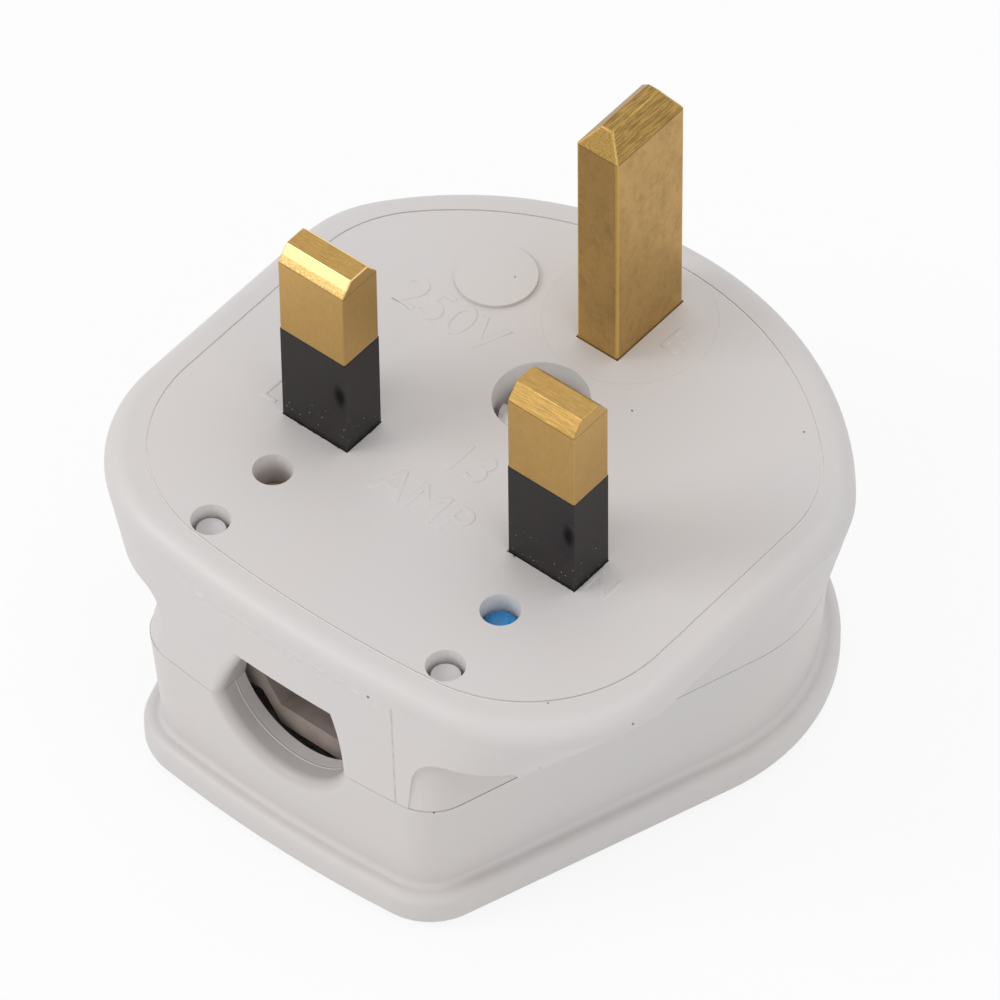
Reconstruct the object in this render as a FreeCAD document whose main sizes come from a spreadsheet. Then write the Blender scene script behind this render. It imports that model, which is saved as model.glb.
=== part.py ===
import FreeCAD, Part
import math
import os

import Sketcher

Vector = FreeCAD.Vector

# Sizes in millimetres and degrees. Depths are measured down from the pin face, which is z = 0.
# The origin is on that face, midway between the two line pins. The earth pin is towards +Y.
SIZES = {
    # Pins
    "line_pitch": 22.23,
    "earth_reach": 22.23,
    "line_width": 6.35,
    "line_thick": 4.0,
    "line_length": 18.1,
    "line_chamfer_in": 1.05,
    "line_chamfer_down": 1.3,
    "earth_width": 4.0,
    "earth_thick": 8.0,
    "earth_length": 23.2,
    "earth_chamfer_in": 1.45,
    "earth_chamfer_down": 1.9,
    "earth_hip_in": 1.2,
    "line_edge": 0.12,
    "earth_edge": 0.25,
    "sleeve_length": 9.6,
    "sleeve_wall": 0.6,
    "sleeve_root": 2.0,
    # Outline of the pin face, and the upright rim round it. Each outline's front is measured from the
    # near end of the fuse, and its end from the far end of the fuse or of the earth terminal. Its end
    # arc's radius is its half width and a fullness. Its sides lean in to the front half width.
    "face_front_room": 15.4,
    "face_front_radius": 110.0,
    "face_corner": 13.2,
    "face_half_width": 25.9,
    "face_flare": 0.0,
    "face_back_corner": 10.0,
    "face_end_room": 9.55,
    "face_end_fullness": 4.1,
    "rim_radius": 1.7,
    "rim_depth": 1.8,
    # Fine line round the face
    "ring_front_room": 12.86,
    "ring_corner": 12.6,
    "ring_half_width": 23.1,
    "ring_end_room": 6.75,
    "ring_end_fullness": 4.9,
    "ring_groove": 0.22,
    "ring_groove_depth": 0.15,
    # Outline at the seam between base and cover
    "seam_depth": 10.8,
    "seam_front_room": 16.8,
    "seam_corner": 4.0,
    "seam_half_width": 24.0,
    "seam_front_half": 12.37,
    "seam_back_corner": 12.0,
    "seam_end_room": 7.5,
    "seam_end_fullness": 4.7,
    "seam_gap": 0.06,
    # Finger scoops under the front corners of the face
    "scoop_depth": 5.4,
    "scoop_side": 12.3,
    "scoop_flat_room": 12.0,
    "scoop_end_room": 8.4,
    "scoop_cove": 1.2,
    "scoop_step": 0.05,
    "scoop_corner": 2.6,
    # Cover and its grip foot
    "foot_thick": 3.4,
    "foot_front_room": 16.35,
    "foot_half_width": 23.3,
    "foot_front_half": 10.7,
    "foot_back_corner": 16.0,
    "foot_proud": 1.5,
    "back_depth": 23.6,
    "foot_top_round": 0.9,
    "foot_cove": 0.5,
    "foot_round": 1.45,
    # Walls
    "face_wall": 3.0,
    "side_wall": 2.2,
    "front_wall": 3.2,
    "back_wall": 2.0,
    # Cord entry
    "entry_top": 5.65,
    "entry_top_half": 3.95,
    "entry_half": 6.0,
    "entry_jamb_radius": 14.2,
    "entry_bottom": 15.2,
    "entry_round": 0.9,
    "jamb_round": 0.8,
    "cut_over": 0.5,
    # Central screw, its washer and the insert it screws into
    "screw_to_earth": 10.73,
    "recess_bore": 7.6,
    "recess_depth": 4.7,
    "screw_head": 6.6,
    "screw_head_tall": 2.5,
    "screw_bore": 4.0,
    "screw_short": 0.9,
    "slot_width": 1.1,
    "slot_depth": 1.1,
    "screw_boss": 10.4,
    "washer_size": 7.2,
    "washer_thick": 0.6,
    "insert_size": 6.6,
    "insert_top": 11.7,
    "insert_floor": 3.8,
    "fit_slack": 0.06,
    "run_slack": 0.15,
    # Small holes in the face
    "marker_side": 11.15,
    "marker_room": 3.7,
    "marker_bore": 3.15,
    "neutral_marker_depth": 1.3,
    "live_marker_depth": 2.6,
    "marker_length": 4.0,
    "marker_dome": 0.9,
    "marker_socket": 5.2,
    "marker_floor": 0.8,
    "peg_side": 11.5,
    "peg_room": 10.5,
    "peg_bore": 3.1,
    "peg_size": 2.3,
    "peg_depth": 1.1,
    "peg_foot": 3.0,
    "disc_side": 10.7,
    "disc_to_earth": 3.13,
    "disc_size": 6.5,
    "disc_raise": 0.3,
    # Cord grip
    "grip_end_side": 10.9,
    "grip_width": 4.2,
    "grip_thick": 2.2,
    "grip_drop": 2.6,
    "grip_crown_half": 3.2,
    "grip_hump_half": 5.0,
    "grip_screw_side": 7.8,
    "grip_screw_size": 2.6,
    "grip_screw_head": 4.0,
    "grip_screw_head_tall": 1.6,
    "grip_screw_length": 8.0,
    "post_width": 3.8,
    "post_inner": 5.6,
    "post_outer": 13.9,
    "saddle_rise": 2.2,
    "saddle_width": 3.0,
    # Terminals
    "terminal_depth": 12.0,
    "terminal_width": 7.0,
    "terminal_length": 8.5,
    "terminal_near": 2.6,
    "clamp_reach": 2.6,
    "earth_terminal": 8.4,
    "earth_terminal_room": 0.03,
    "wire_hole": 3.4,
    "wire_depth": 6.4,
    "clamp_size": 3.4,
    "clamp_head": 5.4,
    "clamp_head_tall": 2.2,
    "clamp_tip": 7.2,
    "live_plate": 1.6,
    "live_plate_width": 8.0,
    "live_plate_length": 6.4,
    "pillar_side": 16.9,
    "pillar_width": 5.0,
    "pillar_reach": 10.6,
    "pillar_length": 7.0,
    # Fuse and its clips
    "fuse_size": 6.35,
    "fuse_length": 25.4,
    "fuse_middle": 9.5,
    "cap_length": 5.6,
    "cap_skin": 0.3,
    "fuse_wall": 1.2,
    "clip_sheet": 0.5,
    "clip_width": 5.0,
    "clip_opening": 4.4,
    "clip_foot": 4.0,
    "clip_foot_tall": 0.62,
    "rib_width": 5.6,
    "rib_thick": 2.0,
}

doc = FreeCAD.newDocument("plug")
sheet = doc.addObject("Spreadsheet::Sheet", "Sizes")
for row, (alias, value) in enumerate(SIZES.items(), start=1):
    sheet.set(f"A{row}", alias)
    sheet.set(f"B{row}", str(value))
    sheet.setAlias(f"B{row}", alias)
doc.recompute()


class Size:
    """A number with the sheet formula that gives it, so that geometry and bindings agree."""

    def __init__(self, value, text):
        self.value = float(value)
        self.text = text

    def __add__(self, other):
        other = as_size(other)
        return Size(self.value + other.value, f"({self.text} + {other.text})")

    def __radd__(self, other):
        return as_size(other) + self

    def __sub__(self, other):
        other = as_size(other)
        return Size(self.value - other.value, f"({self.text} - {other.text})")

    def __rsub__(self, other):
        return as_size(other) - self

    def __mul__(self, other):
        other = as_size(other)
        return Size(self.value * other.value, f"({self.text} * {other.text})")

    def __rmul__(self, other):
        return as_size(other) * self

    def __truediv__(self, other):
        other = as_size(other)
        return Size(self.value / other.value, f"({self.text} / {other.text})")

    def __neg__(self):
        return Size(-self.value, f"(-1 * {self.text})")


def as_size(number):
    return number if isinstance(number, Size) else Size(number, str(number))


def lean(run):
    """The angle in degrees whose tangent is a size."""
    return Size(math.degrees(math.atan(run.value)), f"(atan({run.text}) / 1 deg)")


def larger(first, second):
    """The larger of two sizes, in the sheet as here."""
    return Size(max(first.value, second.value), f"max({first.text}; {second.text})")


class Sheet:
    """The sheet's sizes by name."""

    def __getattr__(self, alias):
        return Size(sheet.get(alias), f"Sizes.{alias}")


s = Sheet()


def bind(thing, **formulas):
    for name, formula in formulas.items():
        thing.setExpression(name, as_size(formula).text)


# Sketches and features of a body

def new_body(name, x=0, y=0):
    body = doc.addObject("PartDesign::Body", name)
    body.Label = name
    bind(body, **{"Placement.Base.x": x, "Placement.Base.y": y})
    return body


def new_sketch(body, role, height=0):
    """A sketch on one of the body's own planes, moved along that plane's normal."""
    sketch = body.newObject("Sketcher::SketchObject", "Sketch")
    plane = next(part for part in body.Origin.OriginFeatures if part.Role == role)
    sketch.AttachmentSupport = [(plane, "")]
    sketch.MapMode = "FlatFace"
    bind(sketch, **{"AttachmentOffset.Base.z": height})
    return sketch


def set_size(sketch, kind, where, value):
    value = as_size(value)
    number = sketch.addConstraint(Sketcher.Constraint(kind, *where, value.value))
    sketch.setExpression(f"Constraints[{number}]", value.text)


def arc_between(centre, start, finish):
    """The counter-clockwise arc about a centre from one point to another."""
    radius = (start - centre).Length
    angles = [math.atan2(point.y - centre.y, point.x - centre.x) for point in (start, finish)]
    if angles[1] < angles[0]:
        angles[1] += 2 * math.pi
    return Part.ArcOfCircle(Part.Circle(centre, Vector(0, 0, 1), radius), *angles)


def bulge(start, finish, radius):
    """The counter-clockwise arc of a given radius between two points."""
    chord = finish - start
    towards = Vector(-chord.y, chord.x, 0).normalize()
    rise = math.sqrt(radius ** 2 - (chord.Length / 2) ** 2)
    return arc_between(start + chord * 0.5 + towards * rise, start, finish)


def polygon(sketch, corners, arcs=None):
    """A closed chain through corners, of lines and, where a radius is given, of arcs."""
    arcs = arcs or {}
    count = len(corners)
    points = [Vector(as_size(x).value, as_size(y).value, 0) for x, y in corners]
    first = sketch.GeometryCount
    for i in range(count):
        ends = points[i], points[(i + 1) % count]
        piece = bulge(*ends, arcs[i].value) if i in arcs else Part.LineSegment(*ends)
        sketch.addGeometry(piece, False)
    for i in range(count):
        following = first + (i + 1) % count
        sketch.addConstraint(Sketcher.Constraint("Coincident", first + i, 2, following, 1))
    for i, (x, y) in enumerate(corners):
        set_size(sketch, "DistanceX", (-1, 1, first + i, 1), x)
        set_size(sketch, "DistanceY", (-1, 1, first + i, 1), y)
    for i, radius in arcs.items():
        set_size(sketch, "Radius", (first + i,), radius)


def rectangle(sketch, left, right, low, high):
    polygon(sketch, [(left, low), (right, low), (right, high), (left, high)])


def centred(width, length, x=0, y=0):
    """The sides of a rectangle about a point: left, right, low and high."""
    x, y = as_size(x), as_size(y)
    return x - width / 2, x + width / 2, y - length / 2, y + length / 2


def circle(sketch, x, y, diameter):
    x, y, radius = as_size(x), as_size(y), as_size(diameter) / 2
    ring = sketch.addGeometry(Part.Circle(Vector(x.value, y.value, 0), Vector(0, 0, 1), radius.value), False)
    set_size(sketch, "DistanceX", (-1, 1, ring, 3), x)
    set_size(sketch, "DistanceY", (-1, 1, ring, 3), y)
    set_size(sketch, "Radius", (ring,), radius)


def outline(sketch, front, front_radius, corner, half_width, flare, back_corner, end, end_radius):
    """The plug's outline: a bowed front edge, front corners, flared sides, back corners, end arc."""
    lean = math.radians(flare.value)
    along = Vector(math.sin(lean), math.cos(lean), 0)
    outward = Vector(math.cos(lean), -math.sin(lean), 0)
    front_centre = Vector(0, front_radius.value - front.value, 0)
    end_centre = Vector(0, end.value - end_radius.value, 0)
    back_x = half_width.value - back_corner.value
    back_rise = math.sqrt((end_radius.value - back_corner.value) ** 2 - back_x ** 2)
    back_centre = Vector(back_x, end_centre.y + back_rise, 0)
    side_distance = outward.dot(back_centre) + back_corner.value
    foot = outward * (side_distance - corner.value)
    offset = foot - front_centre
    inner = front_radius.value - corner.value
    slide = offset.dot(along)
    corner_centre = foot - along * (slide + math.sqrt(slide ** 2 - offset.dot(offset) + inner ** 2))
    front_point = front_centre + (corner_centre - front_centre).normalize() * front_radius.value
    side_low = corner_centre + outward * corner.value
    side_high = back_centre + outward * back_corner.value
    end_point = end_centre + (back_centre - end_centre).normalize() * end_radius.value

    def mirrored(point):
        return Vector(-point.x, point.y, 0)

    first = sketch.GeometryCount
    pieces = [
        arc_between(front_centre, mirrored(front_point), front_point),
        arc_between(corner_centre, front_point, side_low),
        Part.LineSegment(side_low, side_high),
        arc_between(back_centre, side_high, end_point),
        arc_between(end_centre, end_point, mirrored(end_point)),
        arc_between(mirrored(back_centre), mirrored(end_point), mirrored(side_high)),
        Part.LineSegment(mirrored(side_high), mirrored(side_low)),
        arc_between(mirrored(corner_centre), mirrored(side_low), mirrored(front_point)),
    ]
    for piece in pieces:
        sketch.addGeometry(piece, False)
    front_arc, right_front, right_side, right_back, end_arc, left_back, left_side, left_front = (
        range(first, first + 8))
    for i in range(8):
        following = first + (i + 1) % 8
        sketch.addConstraint(Sketcher.Constraint("Tangent", first + i, 2, following, 1))
    for arc in (front_arc, end_arc):
        sketch.addConstraint(Sketcher.Constraint("PointOnObject", arc, 3, -2))
    sketch.addConstraint(Sketcher.Constraint("Symmetric", right_side, 2, left_side, 1, -2))
    set_size(sketch, "DistanceY", (-1, 1, front_arc, 3), front_radius - front)
    set_size(sketch, "DistanceY", (-1, 1, end_arc, 3), end - end_radius)
    set_size(sketch, "DistanceX", (-1, 1, right_back, 3), half_width - back_corner)
    radii = {front_arc: front_radius, end_arc: end_radius, right_front: corner, left_front: corner,
             right_back: back_corner, left_back: back_corner}
    for arc, radius in radii.items():
        set_size(sketch, "Radius", (arc,), radius)
    steep = sketch.addConstraint(Sketcher.Constraint("Angle", right_side, math.pi / 2 - lean))
    sketch.setExpression(f"Constraints[{steep}]", f"(90 - {flare.text}) * 1 deg")


def grown(shape, by):
    """The outline's sizes moved outwards by a distance, or inwards if it is negative."""
    lengths = {name: shape[name] + by for name in shape if name != "flare"}
    return {**lengths, "flare": shape["flare"]}


def pad(body, sketch, length, down=False, both=False):
    feature = body.newObject("PartDesign::Pad", "Pad")
    feature.Profile = sketch
    feature.Reversed = down
    feature.Midplane = both
    bind(feature, Length=length)
    return feature


def pocket(body, sketch, length, up=False, both=False):
    feature = body.newObject("PartDesign::Pocket", "Pocket")
    feature.Profile = sketch
    feature.Reversed = up
    feature.Midplane = both
    bind(feature, Length=length)
    return feature


def loft(body, sketches):
    feature = body.newObject("PartDesign::AdditiveLoft", "Loft")
    feature.Profile = sketches[0]
    feature.Sections = sketches[1:]
    feature.Ruled = True
    return feature


def fillet(body, base, wanted, radius):
    """Round the edges of a feature whose points between their ends all pass a test."""
    doc.recompute()
    names = [f"Edge{number}" for number, edge in enumerate(base.Shape.Edges, start=1)
             if all(wanted(point) for point in edge.discretize(7)[1:-1])]
    feature = body.newObject("PartDesign::Fillet", "Fillet")
    feature.Base = (base, names)
    bind(feature, Radius=radius)
    return feature


def revolve(body, corners):
    """A turned piece: a profile of radius and height, spun about the body's vertical axis."""
    sketch = new_sketch(body, "XZ_Plane")
    polygon(sketch, corners)
    feature = body.newObject("PartDesign::Revolution", "Revolution")
    feature.Profile = sketch
    feature.ReferenceAxis = (sketch, ["V_Axis"])
    feature.Angle = 360
    return feature


fuse_start = s.fuse_middle - s.fuse_length / 2
fuse_end = s.fuse_middle + s.fuse_length / 2
furthest = larger(fuse_end, s.earth_reach - s.earth_terminal_room)
face_front = s.face_front_room - fuse_start
seam_front = s.seam_front_room - fuse_start
foot_front = s.foot_front_room - fuse_start
foot_depth = s.back_depth - s.foot_thick

peg_forward = s.peg_room - fuse_start
side_run = furthest + peg_forward

FACE = dict(front=face_front, front_radius=s.face_front_radius, corner=s.face_corner,
            half_width=s.face_half_width, flare=s.face_flare, back_corner=s.face_back_corner,
            end=furthest + s.face_end_room, end_radius=s.face_half_width + s.face_end_fullness)
SEAM = dict(front=seam_front, front_radius=s.face_front_radius, corner=s.seam_corner,
            half_width=s.seam_half_width, flare=lean((s.seam_half_width - s.seam_front_half) / side_run),
            back_corner=s.seam_back_corner, end=furthest + s.seam_end_room,
            end_radius=s.seam_half_width + s.seam_end_fullness)
FOOT = {**SEAM, "front": foot_front, "half_width": s.foot_half_width, "back_corner": s.foot_back_corner,
        "flare": lean((s.foot_half_width - s.foot_front_half) / side_run)}
RING = dict(front=s.ring_front_room - fuse_start, front_radius=s.face_front_radius, corner=s.ring_corner,
            half_width=s.ring_half_width, flare=s.face_flare, back_corner=s.face_back_corner,
            end=furthest + s.ring_end_room, end_radius=s.ring_half_width + s.ring_end_fullness)


def inner(shape, side, front):
    """The outline of a cavity: the walls are set in from the outline, the front one by its own size."""
    return {**grown(shape, -side), "front": shape["front"] - front}


def outline_sketch(body, shape, depth):
    sketch = new_sketch(body, "XY_Plane", -as_size(depth))
    outline(sketch, **shape)
    return sketch


def drum(body, x, y, diameter, top, bottom):
    """A round boss between two depths."""
    sketch = new_sketch(body, "XY_Plane", -as_size(top))
    circle(sketch, x, y, diameter)
    return pad(body, sketch, bottom - top, down=True)


def bore(body, holes, diameter, top, bottom):
    """Round holes between two depths, cut downwards."""
    sketch = new_sketch(body, "XY_Plane", -as_size(top))
    for x, y in holes:
        circle(sketch, x, y, diameter)
    return pocket(body, sketch, bottom - top)


def block(body, left, right, low, high, top, bottom):
    """A box between two depths."""
    sketch = new_sketch(body, "XY_Plane", -as_size(top))
    rectangle(sketch, left, right, low, high)
    return pad(body, sketch, bottom - top, down=True)


def slot(body, left, right, low, high, top, bottom):
    """A box cut out between two depths."""
    sketch = new_sketch(body, "XY_Plane", -as_size(top))
    rectangle(sketch, left, right, low, high)
    return pocket(body, sketch, bottom - top)


half_pitch = s.line_pitch / 2
base_bottom = s.seam_depth - s.seam_gap
screw_reach = s.earth_reach - s.screw_to_earth
disc_reach = s.earth_reach - s.disc_to_earth
marker_forward = s.marker_room - fuse_start
insert_end = s.back_depth - s.insert_floor

# Base: the moulding that carries the pins
base = new_body("base")
rim = pad(base, outline_sketch(base, FACE, 0), s.rim_depth, down=True)
fillet(base, rim, lambda point: abs(point.z) < 1e-6, s.rim_radius)
loft(base, [outline_sketch(base, FACE, s.rim_depth), outline_sketch(base, SEAM, base_bottom)])

beyond = seam_front + s.scoop_cove
scoop_flat = s.scoop_flat_room - fuse_start
scoop_end = s.scoop_end_room - fuse_start
scoop_under = base_bottom + s.scoop_cove
rounded = s.scoop_side + s.scoop_corner
for side in (1, -1):
    scoop = new_sketch(base, "YZ_Plane", side * rounded)
    polygon(scoop, [(-beyond, -s.scoop_depth), (-scoop_flat, -s.scoop_depth), (-scoop_end, -base_bottom),
                    (-scoop_end, -scoop_under), (-beyond, -scoop_under)])
    pocket(base, scoop, s.face_half_width, up=side > 0)
scoop_starts = new_sketch(base, "XZ_Plane", beyond)
low_corner = -(s.scoop_depth + s.scoop_corner)
polygon(scoop_starts, [(s.scoop_side, low_corner), (s.scoop_side, -scoop_under),
                       (rounded + s.cut_over, -scoop_under), (rounded + s.cut_over, -s.scoop_depth),
                       (rounded, -s.scoop_depth)], {4: s.scoop_corner})
polygon(scoop_starts, [(-s.scoop_side, -scoop_under), (-s.scoop_side, low_corner),
                       (-rounded, -s.scoop_depth), (-(rounded + s.cut_over), -s.scoop_depth),
                       (-(rounded + s.cut_over), -scoop_under)], {1: s.scoop_corner})
pocket(base, scoop_starts, beyond - scoop_flat)
share = (s.scoop_depth - s.rim_depth) / (base_bottom - s.rim_depth)
wall_front = face_front + (seam_front - face_front) * share
scoop_top = {**grown(SEAM, -s.scoop_cove), "front": wall_front - s.scoop_step, "corner": SEAM["corner"]}
loft(base, [outline_sketch(base, scoop_top, s.scoop_depth),
            outline_sketch(base, grown(SEAM, -s.seam_gap), base_bottom)])

cavity = outline_sketch(base, inner(SEAM, s.side_wall, s.front_wall), base_bottom)
pocket(base, cavity, base_bottom - s.face_wall, up=True)

post_low = -(peg_forward + s.post_width / 2)
post_high = -(peg_forward - s.post_width / 2)
block(base, -s.post_outer, -s.post_inner, post_low, post_high, s.face_wall, base_bottom)
block(base, s.post_inner, s.post_outer, post_low, post_high, s.face_wall, base_bottom)
block(base, *centred(2 * s.post_inner, s.saddle_width, 0, -peg_forward),
      s.face_wall, s.face_wall + s.saddle_rise)
drum(base, 0, screw_reach, s.screw_boss, s.face_wall, base_bottom)
markers = {"neutral_marker": (s.marker_side, s.neutral_marker_depth),
           "live_marker": (-s.marker_side, s.live_marker_depth)}
for x, tip in markers.values():
    floor = tip + s.marker_length
    drum(base, x, -marker_forward, s.marker_socket, s.face_wall, floor + s.marker_floor)
    bore(base, [(x, -marker_forward)], s.marker_bore, 0, floor)
screw_spot = [(0, screw_reach)]
bore(base, screw_spot, s.recess_bore, 0, s.recess_depth)
bore(base, screw_spot, s.screw_bore + 2 * s.run_slack, s.recess_depth, base_bottom)
bore(base, screw_spot, s.washer_size + 2 * s.fit_slack, base_bottom - s.washer_thick, base_bottom)
grip_seat = base_bottom + s.grip_thick
peg_spots = [(-s.peg_side, -peg_forward), (s.peg_side, -peg_forward)]
grip_screw_spots = [(-s.grip_screw_side, -peg_forward), (s.grip_screw_side, -peg_forward)]
bore(base, peg_spots, s.peg_bore, 0, base_bottom)
bore(base, grip_screw_spots, s.grip_screw_size + 2 * s.fit_slack,
     grip_seat - s.grip_screw_length, base_bottom)
for x in (-half_pitch, half_pitch):
    slot(base, *centred(s.line_width + 2 * s.fit_slack, s.line_thick + 2 * s.fit_slack, x, 0),
         0, s.face_wall)
slot(base, *centred(s.earth_width + 2 * s.fit_slack, s.earth_thick + 2 * s.fit_slack, 0, s.earth_reach),
     0, s.face_wall)

ring = new_sketch(base, "XY_Plane")
outline(ring, **grown(RING, s.ring_groove / 2))
outline(ring, **grown(RING, -(s.ring_groove / 2)))
pocket(base, ring, s.ring_groove_depth)
drum(base, -s.disc_side, disc_reach, s.disc_size, -s.disc_raise, 0)

entry_start = seam_front + s.front_wall
entry_length = 2 * s.front_wall + s.cut_over
arch = new_sketch(base, "XZ_Plane", entry_start)
polygon(arch, [(-s.entry_top_half, -s.entry_top), (-s.entry_half, -s.seam_depth),
               (s.entry_half, -s.seam_depth), (s.entry_top_half, -s.entry_top)],
        {0: s.entry_jamb_radius, 2: s.entry_jamb_radius})
opening = pocket(base, arch, entry_length)


def on_jamb(point):
    """A test for the outer edges of the opening's two sides."""
    outside = point.y < -(face_front - s.front_wall / 2).value
    beside = s.entry_top_half.value - 1e-6 < abs(point.x) < s.entry_half.value + 1e-6
    return outside and beside and -base_bottom.value < point.z < -s.entry_top.value


fillet(base, opening, on_jamb, s.jamb_round)

# Cover: the back half, with the foot that the fingers pull on
cover = new_body("cover")
foot_top = outline_sketch(cover, FOOT, foot_depth)
loft(cover, [outline_sketch(cover, SEAM, s.seam_depth), foot_top])
foot = pad(cover, outline_sketch(cover, grown(FOOT, s.foot_proud), foot_depth),
           s.back_depth - foot_depth, down=True)


def at_depth(depth, clear_of_walls):
    """A test for points at a depth, either on the foot's rim or where it meets the walls."""
    def wanted(point):
        away = foot_top.Shape.distToShape(Part.Vertex(point))[0] > s.foot_proud.value / 2
        return abs(point.z + depth.value) < 1e-6 and away == clear_of_walls
    return wanted


foot = fillet(cover, foot, at_depth(s.back_depth, True), s.foot_round)
foot = fillet(cover, foot, at_depth(foot_depth, True), s.foot_top_round)
foot = fillet(cover, foot, at_depth(foot_depth, False), s.foot_cove)

hollow = cover.newObject("PartDesign::SubtractiveLoft", "Hollow")
hollow.Profile = outline_sketch(cover, inner(SEAM, s.side_wall, s.front_wall), s.seam_depth)
hollow.Sections = [outline_sketch(cover, inner(FOOT, s.side_wall, s.front_wall),
                                  s.back_depth - s.back_wall)]
hollow.Ruled = True
drum(cover, 0, screw_reach, s.screw_boss, s.seam_depth, s.back_depth - s.back_wall)
bore(cover, screw_spot, s.insert_size + 2 * s.fit_slack, s.seam_depth, insert_end)

clip_bore = s.fuse_size + 2 * s.fit_slack
clip_outer = clip_bore + 2 * s.clip_sheet
plate_under = s.face_wall + s.live_plate
fuse_axis = plate_under + clip_outer / 2
tube_size = s.fuse_size - 2 * s.cap_skin
block(cover, *centred(s.rib_width, s.rib_thick, -half_pitch, s.fuse_middle),
      fuse_axis + tube_size / 2 + s.fit_slack, s.back_depth - s.back_wall)

entry_drop = s.entry_bottom - s.seam_depth
notch_radius = (s.entry_half * s.entry_half + entry_drop * entry_drop) / (2 * entry_drop)
notch = new_sketch(cover, "XZ_Plane", entry_start)
polygon(notch, [(-s.entry_half, -s.seam_depth), (s.entry_half, -s.seam_depth),
                (s.entry_half, -(s.seam_depth - s.cut_over)),
                (-s.entry_half, -(s.seam_depth - s.cut_over))], {0: notch_radius})
mouth = pocket(cover, notch, entry_length)


def on_mouth(point):
    """A test for the outer edge of the notch."""
    outside = point.y < -(seam_front - s.front_wall / 2).value
    return outside and abs(point.x) < s.entry_half.value + 1e-6 and point.z < -s.seam_depth.value + 1e-6


fillet(cover, mouth, on_mouth, s.entry_round)


# Turned pieces
def screw(name, x, y, head, head_end, seat, shank, tip):
    """A slotted screw on a vertical axis, from the depth of its slotted face to that of its tip."""
    body = new_body(name, x, y)
    revolve(body, [(0, -head_end), (head / 2, -head_end), (head / 2, -seat), (shank / 2, -seat),
                   (shank / 2, -tip), (0, -tip)])
    groove = new_sketch(body, "XY_Plane", -head_end)
    rectangle(groove, *centred(head + s.slot_width, s.slot_width))
    pocket(body, groove, s.slot_depth, up=head_end.value > seat.value)
    return body


def tube(name, x, y, outer, hole, top, bottom):
    body = new_body(name, x, y)
    revolve(body, [(hole / 2, -top), (outer / 2, -top), (outer / 2, -bottom), (hole / 2, -bottom)])
    return body


screw_hole = s.screw_bore + 2 * s.fit_slack
screw("cover_screw", 0, screw_reach, s.screw_head, s.recess_depth - s.screw_head_tall,
      s.recess_depth, s.screw_bore, insert_end - s.screw_short)
tube("screw_washer", 0, screw_reach, s.washer_size, screw_hole, base_bottom - s.washer_thick, base_bottom)
tube("cover_insert", 0, screw_reach, s.insert_size, screw_hole, s.insert_top,
     insert_end)
for name, (x, tip) in markers.items():
    marker = new_body(name, x, -marker_forward)
    radius = s.marker_bore / 2 - s.fit_slack
    stem = revolve(marker, [(0, -tip), (radius, -tip), (radius, -(tip + s.marker_length)),
                            (0, -(tip + s.marker_length))])
    fillet(marker, stem, lambda point: abs(point.z + tip.value) < 1e-6, s.marker_dome)

# Pins, which are narrowed for their sleeves and carry a terminal block or a plate under the face
terminal_high = s.terminal_length - s.terminal_near


def line_pin(name, x):
    body = new_body(name, x, 0)
    full = centred(s.line_width, s.line_thick)
    neck = centred(s.line_width - 2 * s.sleeve_wall, s.line_thick - 2 * s.sleeve_wall)
    blade = s.line_length - s.line_chamfer_down
    block(body, *full, -blade, -s.sleeve_length)
    block(body, *neck, -s.sleeve_length, s.sleeve_root)
    block(body, *full, s.sleeve_root, s.face_wall)
    tip = taper(body, full, centred(s.line_width, s.line_thick - 2 * s.line_chamfer_in), blade, s.line_length)
    fillet(body, tip, lambda point: point.z > s.sleeve_length.value + s.fit_slack.value, s.line_edge)
    return body


def taper(body, low_box, high_box, low, high):
    """A wedge-shaped tip between two rectangles."""
    sketches = [new_sketch(body, "XY_Plane", low), new_sketch(body, "XY_Plane", high)]
    for sketch, box in zip(sketches, (low_box, high_box)):
        rectangle(sketch, *box)
    return loft(body, sketches)


def wire_hole(body, role, x):
    """A wire hole through a terminal block, seen along one of the body's planes."""
    sketch = new_sketch(body, role)
    circle(sketch, x, -s.wire_depth, s.wire_hole)
    pocket(body, sketch, s.face_half_width, both=True)


def clamp_hole(body, x, y):
    """The threaded hole for a clamp screw, from the back of the block to the wire hole."""
    bore(body, [(x, y)], s.clamp_size + 2 * s.fit_slack, s.wire_depth, s.terminal_depth)


neutral_pin = line_pin("neutral_pin", half_pitch)
block(neutral_pin, -(s.terminal_width / 2), s.terminal_width / 2, -s.terminal_near, terminal_high,
      s.face_wall, s.terminal_depth)
wire_hole(neutral_pin, "XZ_Plane", 0)
clamp_hole(neutral_pin, 0, s.clamp_reach)

live_pin = line_pin("live_pin", -half_pitch)
block(live_pin, *centred(s.live_plate_width, s.live_plate_length), s.face_wall, plate_under)

earth_pin = new_body("earth_pin", 0, s.earth_reach)
earth_blade = s.earth_length - s.earth_chamfer_down
earth_full = centred(s.earth_width, s.earth_thick)
block(earth_pin, *earth_full, -earth_blade, s.face_wall)
earth_tip = taper(earth_pin, earth_full,
                  centred(s.earth_width - 2 * s.earth_chamfer_in, s.earth_thick - 2 * s.earth_hip_in),
                  earth_blade, s.earth_length)
fillet(earth_pin, earth_tip, lambda point: point.z > s.fit_slack.value - s.face_wall.value, s.earth_edge)
block(earth_pin, *centred(s.earth_terminal, s.earth_terminal), s.face_wall, s.terminal_depth)
wire_hole(earth_pin, "YZ_Plane", 0)
clamp_hole(earth_pin, 0, 0)

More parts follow.
